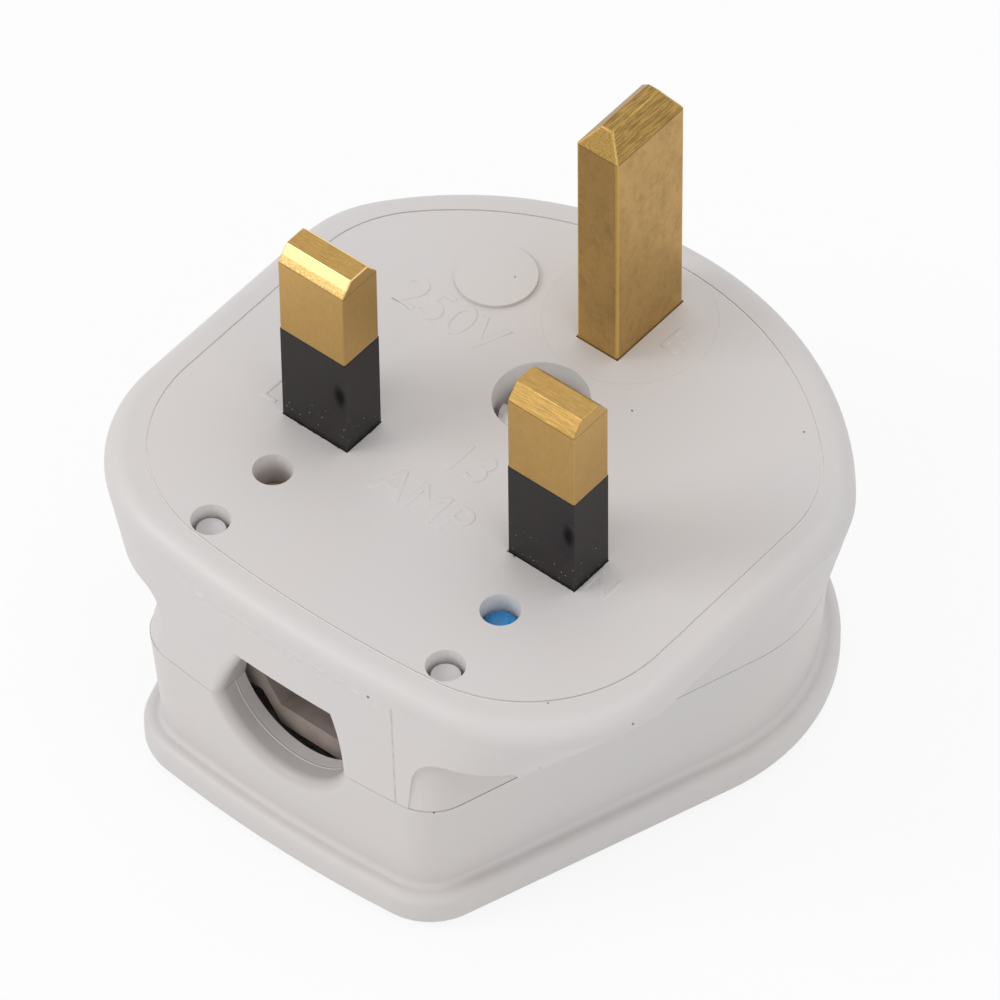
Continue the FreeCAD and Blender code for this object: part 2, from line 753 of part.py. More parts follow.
for name, x in (("neutral_sleeve", half_pitch), ("live_sleeve", -half_pitch)):
    sleeve = new_body(name, x, 0)
    block(sleeve, *centred(s.line_width, s.line_thick), -s.sleeve_length, s.sleeve_root)
    hole = s.fit_slack - s.sleeve_wall
    slot(sleeve, *centred(s.line_width + 2 * hole, s.line_thick + 2 * hole), -s.sleeve_length, s.sleeve_root)

# Live terminal: a plate under the face, and the pillar that takes the wire
live_terminal = new_body("live_terminal")
far_clip = fuse_end - s.cap_length / 2
near_clip = fuse_start + s.cap_length / 2
plate_right = -(half_pitch - s.clip_foot)
pillar = centred(s.pillar_width, s.pillar_length, -s.pillar_side, s.pillar_reach)
plate_end = far_clip + s.clip_width / 2
plate = new_sketch(live_terminal, "XY_Plane", -s.face_wall)
polygon(plate, [(pillar[0], pillar[2]), (plate_right, pillar[2]), (plate_right, plate_end),
                (pillar[1], plate_end), (pillar[1], pillar[3]), (pillar[0], pillar[3])])
pad(live_terminal, plate, s.live_plate, down=True)
block(live_terminal, *pillar, plate_under, s.terminal_depth)
wire_hole(live_terminal, "XZ_Plane", -s.pillar_side)
clamp_hole(live_terminal, -s.pillar_side, s.pillar_reach)

for name, x, y in (("neutral_screw", half_pitch, s.clamp_reach), ("earth_screw", 0, s.earth_reach),
                   ("live_screw", -s.pillar_side, s.pillar_reach)):
    screw(name, x, y, s.clamp_head, s.terminal_depth + s.clamp_head_tall, s.terminal_depth,
          s.clamp_size, s.clamp_tip)

# Fuse, with its axis towards +Y, and the two clips that hold its caps
fuse = new_body("fuse_body", -half_pitch)
rod = new_sketch(fuse, "XZ_Plane", -(fuse_start + s.cap_skin))
circle(rod, 0, -fuse_axis, tube_size)
pad(fuse, rod, s.fuse_length - 2 * s.cap_skin, down=True)
inside = new_sketch(fuse, "XZ_Plane", -(fuse_start + s.cap_skin))
circle(inside, 0, -fuse_axis, tube_size - 2 * s.fuse_wall)
pocket(fuse, inside, s.fuse_length - 2 * s.cap_skin)

caps = {"fuse_cap_pin_end": (fuse_start, fuse_start + s.cap_length, True),
        "fuse_cap_wire_end": (fuse_end, fuse_end - s.cap_length, False)}
for name, (closed, opened, forwards) in caps.items():
    cap = new_body(name, -half_pitch)
    disc = new_sketch(cap, "XZ_Plane", -closed)
    circle(disc, 0, -fuse_axis, s.fuse_size)
    pad(cap, disc, s.cap_length, down=forwards)
    well = new_sketch(cap, "XZ_Plane", -opened)
    circle(well, 0, -fuse_axis, tube_size + s.fit_slack)
    pocket(cap, well, s.cap_length - s.cap_skin, up=forwards)

for name, y in (("pin_fuse_clip", near_clip), ("terminal_fuse_clip", far_clip)):
    clip = new_body(name, -half_pitch)
    for draw, cut in (("round", False), ("foot", False), ("bore", True), ("opening", True)):
        sketch = new_sketch(clip, "XZ_Plane", -y)
        if draw == "round":
            circle(sketch, 0, -fuse_axis, clip_outer)
        elif draw == "foot":
            rectangle(sketch, -(s.clip_foot / 2), s.clip_foot / 2, -(plate_under + s.clip_foot_tall),
                      -plate_under)
        elif draw == "bore":
            circle(sketch, 0, -fuse_axis, clip_bore)
        else:
            rectangle(sketch, -(s.clip_opening / 2), s.clip_opening / 2, -(fuse_axis + clip_outer),
                      -fuse_axis)
        make = pocket if cut else pad
        make(clip, sketch, s.clip_width + (s.cut_over if cut else 0), both=True)

# Cord grip: a strap with a hump for the cord, its two screws, and two pegs that stand on its ends in
# bores and show in the face
grip = new_body("cord_grip")
strap = new_sketch(grip, "XZ_Plane", peg_forward)
hump_top = base_bottom + s.grip_drop
polygon(strap, [(-s.grip_end_side, -base_bottom), (-s.grip_end_side, -grip_seat),
                (-s.grip_hump_half, -grip_seat), (-s.grip_crown_half, -(grip_seat + s.grip_drop)),
                (s.grip_crown_half, -(grip_seat + s.grip_drop)), (s.grip_hump_half, -grip_seat),
                (s.grip_end_side, -grip_seat), (s.grip_end_side, -base_bottom),
                (s.grip_hump_half, -base_bottom), (s.grip_crown_half, -hump_top),
                (-s.grip_crown_half, -hump_top), (-s.grip_hump_half, -base_bottom)])
pad(grip, strap, s.grip_width, both=True)
ends = new_sketch(grip, "XY_Plane", -base_bottom)
for x in (-s.grip_end_side, s.grip_end_side):
    circle(ends, x, -peg_forward, s.grip_width)
pad(grip, ends, s.grip_thick, down=True)
bore(grip, grip_screw_spots, s.grip_screw_size + 2 * s.run_slack, base_bottom, grip_seat)
for name, (x, y) in zip(("grip_peg_left", "grip_peg_right"), peg_spots):
    peg = new_body(name, x, y)
    drum(peg, 0, 0, s.peg_size, s.peg_depth, base_bottom - s.peg_foot)
    drum(peg, 0, 0, s.peg_bore - 2 * s.fit_slack, base_bottom - s.peg_foot, base_bottom)
for name, (x, y) in zip(("cord_grip_screw_left", "cord_grip_screw_right"), grip_screw_spots):
    screw(name, x, y, s.grip_screw_head, grip_seat + s.grip_screw_head_tall, grip_seat,
          s.grip_screw_size, grip_seat - s.grip_screw_length)

doc.recompute()
os.makedirs("parts", exist_ok=True)
for thing in doc.Objects:
    troubles = [state for state in thing.State if state in ("Invalid", "Error")]
    if troubles:
        raise RuntimeError(f"{thing.Name} is {troubles[0]}")
for body in doc.findObjects("PartDesign::Body"):
    if body.Shape.isNull() or not body.Shape.isValid() or len(body.Shape.Solids) != 1:
        raise RuntimeError(f"{body.Label} is not one valid solid")
    body.Shape.exportStep(f"parts/{body.Label}.step")
    print(f"{body.Label}: {body.Shape.Volume:.1f} mm3")
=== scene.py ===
import math
import bpy
import bmesh
from mathutils import Matrix, Vector


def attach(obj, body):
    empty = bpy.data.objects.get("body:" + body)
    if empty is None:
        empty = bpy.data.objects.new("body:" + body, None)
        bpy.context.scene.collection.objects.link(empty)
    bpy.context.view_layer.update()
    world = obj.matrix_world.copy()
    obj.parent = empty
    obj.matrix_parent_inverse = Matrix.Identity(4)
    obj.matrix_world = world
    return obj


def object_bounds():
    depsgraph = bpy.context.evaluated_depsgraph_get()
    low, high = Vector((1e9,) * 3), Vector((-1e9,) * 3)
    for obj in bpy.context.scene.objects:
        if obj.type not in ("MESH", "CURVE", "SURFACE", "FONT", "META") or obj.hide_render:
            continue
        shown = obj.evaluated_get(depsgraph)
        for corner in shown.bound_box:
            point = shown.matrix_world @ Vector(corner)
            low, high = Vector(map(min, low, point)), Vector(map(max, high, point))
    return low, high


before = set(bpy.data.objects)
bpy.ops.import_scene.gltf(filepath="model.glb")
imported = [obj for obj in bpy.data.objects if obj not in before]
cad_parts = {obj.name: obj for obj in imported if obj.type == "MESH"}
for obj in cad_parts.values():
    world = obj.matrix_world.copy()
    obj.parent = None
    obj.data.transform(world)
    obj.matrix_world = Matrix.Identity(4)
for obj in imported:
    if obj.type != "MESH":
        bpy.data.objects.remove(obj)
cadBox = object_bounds()
mm = 0.001
linePinAt = 11.115  # millimetres from the middle of the plug to each line pin


def middleOf(node):
    # the middle of a CAD piece, in millimetres
    corners = [Vector(corner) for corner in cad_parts[node].bound_box]
    return sum(corners, Vector()) / len(corners) / mm


print("frame loaded:", len(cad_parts), "nodes")


# Sockets that Python can do sums with
class Wire:
    def __init__(self, finish, socket):
        self.finish = finish
        self.socket = socket

    def maths(self, operation, first, second=0.0):
        return self.finish.node("ShaderNodeMath", {"operation": operation}, [first, second])

    def __add__(self, other):
        return self.maths("ADD", self, other)

    def __radd__(self, other):
        return self.maths("ADD", other, self)

    def __sub__(self, other):
        return self.maths("SUBTRACT", self, other)

    def __rsub__(self, other):
        return self.maths("SUBTRACT", other, self)

    def __mul__(self, other):
        return self.maths("MULTIPLY", self, other)

    def __rmul__(self, other):
        return self.maths("MULTIPLY", other, self)

    def __abs__(self):
        return self.maths("ABSOLUTE", self)

    def root(self):
        return self.maths("SQRT", self)

    def most(self, other):
        return self.maths("MAXIMUM", self, other)


# One procedural material on a Principled shader, with places in millimetres on the object
class Finish:
    def __init__(self, name):
        self.material = bpy.data.materials.new(name)
        self.material.use_nodes = True
        self.tree = self.material.node_tree
        self.shader = self.tree.nodes["Principled BSDF"]
        metres = self.node("ShaderNodeTexCoord", {}, {}, "Object")
        self.where = self.node("ShaderNodeVectorMath", {"operation": "SCALE"}, {0: metres, "Scale": 1 / mm})

    def node(self, kind, settings, inputs, output=0):
        made = self.tree.nodes.new(kind)
        for name, value in settings.items():
            if name == "stops":
                ramp = made.color_ramp.elements
                for i, (place, colour) in enumerate(value):
                    stop = ramp[i] if i < 2 else ramp.new(place)
                    stop.position = place
                    stop.color = (*colour, 1.0)
            else:
                setattr(made, name, value)
        pairs = inputs.items() if isinstance(inputs, dict) else enumerate(inputs)
        for key, value in pairs:
            socket = made.inputs[key]
            if isinstance(value, Wire):
                self.tree.links.new(value.socket, socket)
            elif isinstance(value, tuple) and len(value) < len(socket.default_value):
                socket.default_value = (*value, 1.0)
            else:
                socket.default_value = value
        return Wire(self, made.outputs[output])

    def along(self, axis):
        # the place along x, y or z
        return self.node("ShaderNodeSeparateXYZ", {}, [self.where], axis)

    def facing(self, axis):
        # how far the surface faces along x, y or z
        normal = self.node("ShaderNodeNewGeometry", {}, {}, "Normal")
        return self.node("ShaderNodeSeparateXYZ", {}, [normal], axis)

    def away(self, point):
        # the distance from a point
        return self.node("ShaderNodeVectorMath", {"operation": "DISTANCE"}, [self.where, point], "Value")

    def placed(self, stretch, shift):
        return self.node("ShaderNodeMapping", {}, {"Vector": self.where, "Location": shift, "Scale": stretch})

    def noise(self, scale, detail=3.0, roughness=0.5, stretch=(1, 1, 1), shift=(0, 0, 0)):
        # scale is in features per millimetre
        return self.node("ShaderNodeTexNoise", {}, {"Vector": self.placed(stretch, shift), "Scale": scale,
                                                    "Detail": detail, "Roughness": roughness})

    def spots(self, scale, shift=(0, 0, 0)):
        # distance to the nearest of some scattered points
        return self.node("ShaderNodeTexVoronoi", {}, {"Vector": self.placed((1, 1, 1), shift),
                                                      "Scale": scale}, "Distance")

    def ease(self, value, low, high, fromValue=0.0, toValue=1.0):
        return self.node("ShaderNodeMapRange", {"interpolation_type": "SMOOTHSTEP"},
                         [value, low, high, fromValue, toValue])

    def drop(self, value, low, high):
        return self.ease(value, low, high, 1.0, 0.0)

    def line(self, distance, half, soft):
        # 1 on a line that is half wide each way, fading to 0
        return self.drop(abs(distance), half, half + soft)

    def mix(self, share, first, second):
        return self.node("ShaderNodeMix", {"data_type": "RGBA"}, {0: share, 6: first, 7: second}, 2)

    def shades(self, value, stops):
        return self.node("ShaderNodeValToRGB", {"stops": stops}, [value])

    def bump(self, height, distance, strength, under=None):
        inputs = {"Height": height, "Distance": distance * mm, "Strength": strength}
        if under is not None:
            inputs["Normal"] = under
        return self.node("ShaderNodeBump", {}, inputs)

    def set(self, settings):
        for name, value in settings.items():
            socket = self.shader.inputs[name]
            if isinstance(value, Wire):
                self.tree.links.new(value.socket, socket)
            else:
                socket.default_value = value
        return self.material


# The two mouldings: satin pale plastic, in millimetres
plastic = {
    # shade is the colour of painted shade, pale that of painted light and painted highlights, and the third
    # dark colour serves real dirt and painted shade
    "warm": (0.648, 0.614, 0.598), "cool": (0.632, 0.615, 0.618), "shade": (0.400, 0.355, 0.352),
    "pale": (0.86, 0.84, 0.82), "dirtAndShade": (0.20, 0.165, 0.130), "speck": (0.085, 0.060, 0.050),
    "roughness": 0.42, "specular": 0.45,
    "markRelief": 0.10, "peelRelief": 0.02, "grainRelief": 0.01,
    # x, y, z and radius of the few specks that the photograph shows
    "specks": [(7.83, -18.36, -2.07, 0.16), (14.04, -18.33, -10.83, 0.12), (25.22, -8.54, -1.23, 0.13),
               (20.56, -13.74, -4.97, 0.14), (19.71, -11.73, 0.0, 0.11), (17.62, 21.44, 0.0, 0.12),
               (-9.44, 19.84, 0.3, 0.10)],
    # crumbs scattered elsewhere: how many per millimetre, their edge, and how much of the surface has them
    "crumbs": 0.22, "crumbEdge": (0.016, 0.03), "crumbPatches": (0.60, 0.64),
}


def plasticFinish(name, marks):
    f = Finish(name)
    x, y, z = [f.along(axis) for axis in "XYZ"]
    drift = f.ease(f.noise(0.045), 0.3, 0.7)
    cloud = f.ease(f.noise(0.35, 4.0, 0.6, shift=(3, 7, 1)), 0.35, 0.72)
    colour = f.mix(drift * 0.8 + cloud * 0.2, plastic["warm"], plastic["cool"])
    found = marks(f, x, y, z)
    for tint in ("shade", "pale", "dirtAndShade"):
        colour = f.mix(found[tint], colour, plastic[tint])
    speck = f.drop(f.spots(plastic["crumbs"], (2, 5, 9)), *plastic["crumbEdge"]) \
        * f.ease(f.noise(0.21, 1.0, shift=(11, 4, 6)), *plastic["crumbPatches"])
    for *place, radius in plastic["specks"]:
        speck = speck.most(f.drop(f.away(tuple(place)), radius * 0.5, radius))
    if "darkFringe" in found:
        speck = speck.most(found["darkFringe"])
    colour = f.mix(speck * 0.85, colour, plastic["speck"])
    grain = f.noise(9.0, 2.0, 0.6)
    peel = f.noise(0.9, 3.0, 0.5, shift=(5, 2, 8))
    scuff = f.ease(f.noise(0.5, 5.0, 0.65, (1, 3, 1), (1, 6, 3)), 0.55, 0.8)
    skin = f.bump(peel, plastic["peelRelief"], 0.35, f.bump(grain, plastic["grainRelief"], 0.35))
    return f.set({"Base Color": colour, "Normal": f.bump(found["relief"], plastic["markRelief"], 1.0, skin),
                  "Roughness": plastic["roughness"] + (grain - 0.5) * 0.10 + scuff * 0.10 + cloud * 0.04,
                  "Specular IOR Level": plastic["specular"]})


# Marks, painted light and painted shade on the base, in millimetres; a pair of numbers is the two ends of a
# fade
baseMarks = {
    "front": (-17.5, -17.1),                                        # the front wall
    "sliderAt": 9.90, "sliderTop": -1.95, "sliderLean": 0.150,      # mould slider's line, right of the entry
    "earth": (0.0, 22.23, 0.0), "witness": 6.9,                     # faint circle round the earth pin
    "jambAt": 3.95, "jambTop": -5.65, "jambLean": 0.40, "jambBack": (-16.5, -15.5),   # painted shade on the sides of the entry
    "bandAt": -2.35, "bandEnds": (8.0, 12.0),                       # painted highlight band below the front rim, with real ripples
    "grooveFloor": -0.15,                                           # the line round the face, with painted light in its floor
    "sleeveHalfWide": 3.175, "sleeveHalfThick": 2.0,                # a ragged dark fringe round the foot of each sleeve
    # pieces that show at the bottom of a hole in the face, and the radius of their holes
    "holes": {"cover_screw": 3.8, "neutral_marker": 1.575, "live_marker": 1.575,
              "grip_peg_left": 1.55, "grip_peg_right": 1.55},
    "holePale": (-3.2, -0.6), "holeBrown": (-2.1, -0.7),            # heights of the painted light and of the painted brown shade on the walls of the holes
}


def markBase(f, x, y, z):
    m = baseMarks
    facing = f.facing("Z")
    onFront = f.drop(y, *m["front"])
    onFace = f.ease(z, -0.06, -0.02)
    wear = f.ease(f.noise(1.6, 3.0, 0.6, shift=(8, 1, 4)), 0.30, 0.62, 0.25, 1.0)
    slider = f.line(x - m["sliderAt"] - (m["sliderTop"] - z) * m["sliderLean"], 0.03, 0.10) * onFront \
        * f.drop(z, m["sliderTop"] - 0.3, m["sliderTop"] + 0.1)
    witness = f.line(f.away(m["earth"]) - m["witness"], 0.03, 0.16) * onFace * wear
    # painted shade on the sides of the cord entry
    beside = abs(x) - m["jambAt"] - (m["jambTop"] - z) * m["jambLean"]
    paintedJambShade = f.drop(beside, 0.05, 0.75) * f.drop(z, m["jambTop"] - 0.2, m["jambTop"]) \
        * f.drop(y, *m["jambBack"])
    # a painted highlight band below the front rim; its ripples are also in the relief
    highlightAndRippleBand = f.line(z - m["bandAt"], 0.10, 0.55) * onFront * f.drop(abs(x), *m["bandEnds"])
    ripple = f.ease(f.noise(0.9, 4.0, 0.7, (1, 1, 3), (6, 2, 1)), 0.42, 0.70)
    # painted light in the floor of the line round the face, lifting the shade there
    groove = f.ease(facing, 0.970, 0.985) * f.line(z - m["grooveFloor"], 0.02, 0.03)
    inHole = {}
    anyHole = 0.0
    for node, radius in m["holes"].items():
        middle = middleOf(node)
        aside = x - middle.x
        ahead = y - middle.y
        inHole[node] = f.drop((aside * aside + ahead * ahead).root(), radius + 0.05, radius + 0.12)
        anyHole = inHole[node].most(anyHole)
    # painted light on the upper walls of the holes, and painted brown shade deep in the live marker's hole
    steep = f.drop(facing, 0.3, 0.6)
    paintedHoleLight = anyHole * steep * f.ease(z, *m["holePale"])
    paintedBrownShade = inHole["live_marker"] * f.drop(z, *m["holeBrown"]) * steep
    # a ragged dark fringe round the foot of each sleeve
    beyond = (abs(abs(x) - linePinAt) - m["sleeveHalfWide"]).most(abs(y) - m["sleeveHalfThick"])
    darkFringe = f.drop(beyond + (f.noise(2.4, 4.0, 0.7, shift=(4, 4, 2)) - 0.5) * 0.9, -0.02, 0.10) \
        * f.drop(beyond, 0.20, 0.30) * onFace
    return {"shade": paintedJambShade * 0.36, "pale": (highlightAndRippleBand * ripple * 0.35).most(groove).most(paintedHoleLight * 0.8), "darkFringe": darkFringe,
            "dirtAndShade": (slider * wear * 0.34).most(witness * 0.03).most(paintedBrownShade * 0.22),
            "relief": witness * 0.15 + highlightAndRippleBand * ripple * 0.45 - slider * wear * 0.35}


# Marks, painted shade and painted highlights on the cover, in millimetres
coverMarks = {
    "notchAt": -8.91, "notchRadius": 6.29, "notchRound": 0.95,      # the cord notch and its rounded lip
    "notchLine": -17.72, "wallBack": (-15.9, -15.6),
    "footTop": -20.2, "coveEnds": (30.0, 34.0),                     # a faint darker line along the cove above the foot
}


def markCover(f, x, y, z):
    # painted shade on the cord notch's rounded lip, and a painted highlight on the raised line where the lip
    # ends
    m = coverMarks
    rise = z - m["notchAt"]
    radius = (x * x + rise * rise).root() - m["notchRadius"]
    # painted shade on the rounded lip, deeper on its outer band
    lip = f.drop(radius, m["notchRound"] * 0.25, m["notchRound"]) * f.drop(y, *m["wallBack"])
    outer = f.drop(y, m["notchLine"] - 0.05, m["notchLine"] + 0.05)
    # painted highlight on a raised line where the lip ends
    fine = f.line(y - m["notchLine"], 0.03, 0.09) * lip
    # a faint darker line along the cove above the foot, broken up by noise
    cove = f.line(z - m["footTop"], 0.02, 0.30) * f.drop(y, *m["coveEnds"])
    coveBreakup = f.ease(f.noise(0.5, 3.0, 0.6, shift=(2, 9, 5)), 0.30, 0.70, 0.4, 1.0)
    return {"shade": lip * (0.08 + outer * 0.30), "pale": fine * 0.6, "dirtAndShade": cove * coveBreakup * 0.05,
            "relief": fine * 0.4}


# Brass pins: fine grain, tarnish in blotches, cutter marks on the tip, darker tip faces, a painted glint on
# the live pin's chamfer, a painted highlight on the earth pin's edges and painted shade where the pins leave
# the face
brass = {
    "shades": [(0.22, (0.495, 0.308, 0.098)), (0.75, (0.665, 0.418, 0.140)), (0.52, (0.600, 0.372, 0.120))],
    # bright is the colour of the painted glint, and edge that of the painted highlight on the earth pin's
    # edges
    "tarnish": (0.215, 0.142, 0.054), "rust": (0.330, 0.165, 0.052), "bright": (0.95, 0.72, 0.36),
    "groove": (0.205, 0.120, 0.040), "tipDarkening": (0.235, 0.150, 0.046), "edge": (0.860, 0.580, 0.170),
    "gritEnds": (0.50, 0.62), "relief": 0.02,
    # where the tip starts in mm, painted glint on its chamfers, darkening of its chamfers and of its top,
    # stretch of its cutter marks, painted highlight on its edges
    "pins": {
        "earth_pin": {"tipFrom": 21.3, "paintedGlint": 0.0, "chamfer": 0.92, "top": 1.0, "cutter": (5, 0.25, 5),
                      "tarnish": 0.85, "edge": 0.55, "roughness": 0.40},
        "neutral_pin": {"tipFrom": 16.8, "paintedGlint": 0.0, "chamfer": 0.62, "top": 0.46, "cutter": (0.25, 5, 5),
                        "tarnish": 0.24, "edge": 0.0, "roughness": 0.34},
        "live_pin": {"tipFrom": 16.8, "paintedGlint": 0.9, "chamfer": 0.0, "top": 0.50, "cutter": (0.25, 5, 5),
                     "tarnish": 0.14, "edge": 0.0, "roughness": 0.34},
    },
}


def brassFinish(name, pin):
    p = brass["pins"][pin]
    f = Finish(name)
    z = f.along("Z")
    facing = f.facing("Z")
    grain = f.noise(1.3, 6.0, 0.7, (2.4, 2.4, 1.2))
    fine = f.noise(4.2, 3.0, 0.6, (2.0, 2.0, 1.4), (2, 2, 1))
    grit = f.noise(7.0, 2.0, 0.7, shift=(6, 1, 3))
    colour = f.shades(grain * 0.45 + fine * 0.30 + grit * 0.25, brass["shades"])
    blotch = f.ease(f.noise(0.30, 6.0, 0.66, (1, 1, 0.55), (4, 1, 2)), 0.38, 0.70)
    mottle = f.ease(f.noise(1.1, 6.0, 0.75, (1, 1, 0.8), (7, 3, 5)), 0.42, 0.74)
    pits = f.drop(f.spots(1.4, (1, 4, 2)), 0.07, 0.13) * f.ease(f.noise(0.6, 2.0, shift=(9, 2, 4)), 0.5, 0.58)
    onTip = f.ease(z, p["tipFrom"] - 0.03, p["tipFrom"] + 0.05)
    chamfer = f.ease(facing, 0.15, 0.30) * f.drop(facing, 0.86, 0.96)
    top = f.ease(facing, 0.93, 0.98) * onTip
    dull = (0.10 + blotch * 0.22 + mottle * 0.28 + grit * 0.12) * p["tarnish"] * (1.0 - onTip * 0.8)
    colour = f.mix(dull, colour, brass["tarnish"])
    colour = f.mix(blotch * mottle * p["tarnish"] * 0.35, colour, brass["rust"])
    colour = f.mix(pits * p["tarnish"] * 0.6, colour, brass["groove"])
    cutter = f.noise(2.6, 4.0, 0.65, p["cutter"], (1, 8, 3))
    # the chamfers and the top of the tip are darker, broken up by cutter marks
    tipDarkening = (chamfer * p["chamfer"]).most(top * p["top"]) * f.ease(cutter, 0.42, 0.58, 1.0, 0.30)
    colour = f.mix(tipDarkening, colour, brass["tipDarkening"])
    # painted glint on the chamfer, smooth above and gritty below
    upper = f.ease(z, p["tipFrom"] + brass["gritEnds"][0], p["tipFrom"] + brass["gritEnds"][1])
    paintedGlint = upper * 0.85 + f.ease(grit, 0.42, 0.62) * (1.0 - upper) * 0.55
    colour = f.mix(chamfer * paintedGlint * p["paintedGlint"], colour, brass["bright"])
    # painted highlight along the rounded upright edges of the earth pin
    corner = f.ease(abs(f.facing("X") * f.facing("Y")), 0.10, 0.30)
    colour = f.mix(corner * p["edge"], colour, brass["edge"])
    # dark lines where the tip starts, and painted shade where the pin leaves the face
    edge = f.line(z - p["tipFrom"], 0.02, 0.07) + f.drop(z, 0.06, 0.20) * 0.5
    colour = f.mix(edge * 0.5, colour, brass["groove"])
    height = grain * 0.3 + fine * 0.3 + grit * 0.3 - dull * 0.3 - pits * p["tarnish"] + onTip * cutter * 0.6 \
        - edge * 0.4
    roughness = p["roughness"] + dull * 0.22 + (fine - 0.5) * 0.12 - chamfer * p["paintedGlint"] * 0.05
    return f.set({"Base Color": colour, "Metallic": 1.0 - dull * 0.25, "Roughness": roughness,
                  "Normal": f.bump(height, brass["relief"], 0.6)})


# Black sleeves on the line pins, in millimetres
sleeve = {
    "dark": (0.0060, 0.0030, 0.0040), "light": (0.0135, 0.0085, 0.0095), "dust": (0.46, 0.45, 0.44),
    "hollow": (0.0025, 0.0025, 0.0028), "roughness": 0.34, "specular": 0.35, "relief": 0.12,
    "top": 9.6, "front": -2.0, "dustTop": (2.6, 3.8),
    "dimpleAside": 2.72, "dimpleUp": 5.9, "dimpleWide": 0.62, "dimpleTall": 1.25,
}


def sleeveFinish(name, centreX):
    # semi-gloss, a few bright specks near the foot, ragged and darker at both ends, painted shade in a
    # moulding dimple in front
    s = sleeve
    f = Finish(name)
    x, y, z = [f.along(axis) for axis in "XYZ"]
    cloud = f.noise(0.8, 4.0, 0.6)
    colour = f.mix(f.ease(cloud, 0.3, 0.7), s["dark"], s["light"])
    dust = f.drop(f.spots(2.4, (centreX, 3, 1)), 0.08, 0.17) \
        * f.ease(f.noise(0.8, 2.0, shift=(centreX, 2, 7)), 0.42, 0.52) * f.drop(z, *s["dustTop"])
    colour = f.mix(dust * 0.75, colour, s["dust"])
    ragged = f.noise(2.2, 5.0, 0.75, (1, 1, 0.4), (centreX, 5, 5)) - 0.5
    top = f.ease(z - s["top"] + ragged * 0.6, -0.24, -0.06)
    foot = f.drop(z + ragged * 2.2, 0.10, 0.45)
    # painted shade in the moulding dimple; hollow is its colour, and also that of the darker ends
    across = (x - centreX - s["dimpleAside"]) * (1 / s["dimpleWide"])
    rise = (z - s["dimpleUp"]) * (1 / s["dimpleTall"])
    dimple = f.drop((across * across + rise * rise).root(), 0.25, 1.20) \
        * f.drop(y, s["front"] + 0.02, s["front"] + 0.08)
    colour = f.mix(dimple.most((top + foot) * 0.7), colour, s["hollow"])
    height = foot * 0.6 - top * 0.5 - dimple + cloud * 0.12 + dust * 0.3
    return f.set({"Base Color": colour, "Roughness": s["roughness"] + cloud * 0.18 + dimple * 0.15,
                  "Metallic": dimple * 0.85, "Normal": f.bump(height, s["relief"], 0.9),
                  "Specular IOR Level": s["specular"]})


def plainFinish(name, light, dark, roughness, metal=0.0, scale=0.6, stretch=(1, 1, 1), relief=0.02, coat=0.0):
    # a small part: two shades through a noise, with matching relief
    f = Finish(name)
    cloud = f.noise(scale, 5.0, 0.62, stretch)
    fine = f.noise(scale * 6, 3.0, 0.6, stretch, (3, 1, 2))
    return f.set({"Base Color": f.mix(f.ease(cloud, 0.3, 0.7), dark, light), "Metallic": metal,
                  "Roughness": roughness + (fine - 0.5) * 0.15, "Coat Weight": coat,
                  "Normal": f.bump(cloud * 0.5 + fine * 0.5, relief, 0.6)})


screwSteel = plainFinish("platedScrew", (0.66, 0.65, 0.63), (0.42, 0.41, 0.395), 0.34, 1.0, 0.9)
turnedBrass = plainFinish("turnedBrass", (0.66, 0.44, 0.17), (0.48, 0.30, 0.105), 0.30, 1.0, 0.8, (1, 1, 4))
paleNylon = plainFinish("paleNylon", (0.60, 0.58, 0.59), (0.52, 0.50, 0.51), 0.42, scale=0.8)
nickel = plainFinish("nickelCap", (0.70, 0.69, 0.66), (0.52, 0.51, 0.49), 0.22, 1.0)
finishes = {
    "base": plasticFinish("baseMoulding", markBase),
    "cover": plasticFinish("coverMoulding", markCover),
    "earth_pin": brassFinish("earthPinBrass", "earth_pin"),
    "neutral_pin": brassFinish("neutralPinBrass", "neutral_pin"),
    "live_pin": brassFinish("livePinBrass", "live_pin"),
    "neutral_sleeve": sleeveFinish("neutralSleeveBlack", linePinAt),
    "live_sleeve": sleeveFinish("liveSleeveBlack", -linePinAt),
    "cover_screw": screwSteel,
    "cord_grip_screw_left": screwSteel,
    "cord_grip_screw_right": screwSteel,
    "screw_washer": plainFinish("redFibre", (0.36, 0.10, 0.07), (0.22, 0.06, 0.04), 0.7, 0.0, 1.4, (3, 1, 1)),
    "cord_grip": plainFinish("brownFibre", (0.375, 0.315, 0.280), (0.315, 0.258, 0.225), 0.6, scale=0.5,
                             relief=0.01),
    "grip_peg_left": paleNylon,
    "grip_peg_right": paleNylon,
    "neutral_marker": plainFinish("bluePlastic", (0.0, 0.250, 0.600), (0.0, 0.180, 0.480), 0.20, coat=0.3),
    "live_marker": plainFinish("brownPlastic", (0.480, 0.275, 0.160), (0.360, 0.200, 0.115), 0.28, coat=0.8),
    "fuse_body": plainFinish("fuseCeramic", (0.82, 0.80, 0.75), (0.70, 0.68, 0.63), 0.5, scale=1.0),
    "fuse_cap_pin_end": nickel,
    "fuse_cap_wire_end": nickel,
}
# the terminals, clips, clamp screws and the insert are all turned brass
for node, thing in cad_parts.items():
    for place in thing.material_slots:
        place.material = finishes.get(node, turnedBrass)
print("finishes on every node")


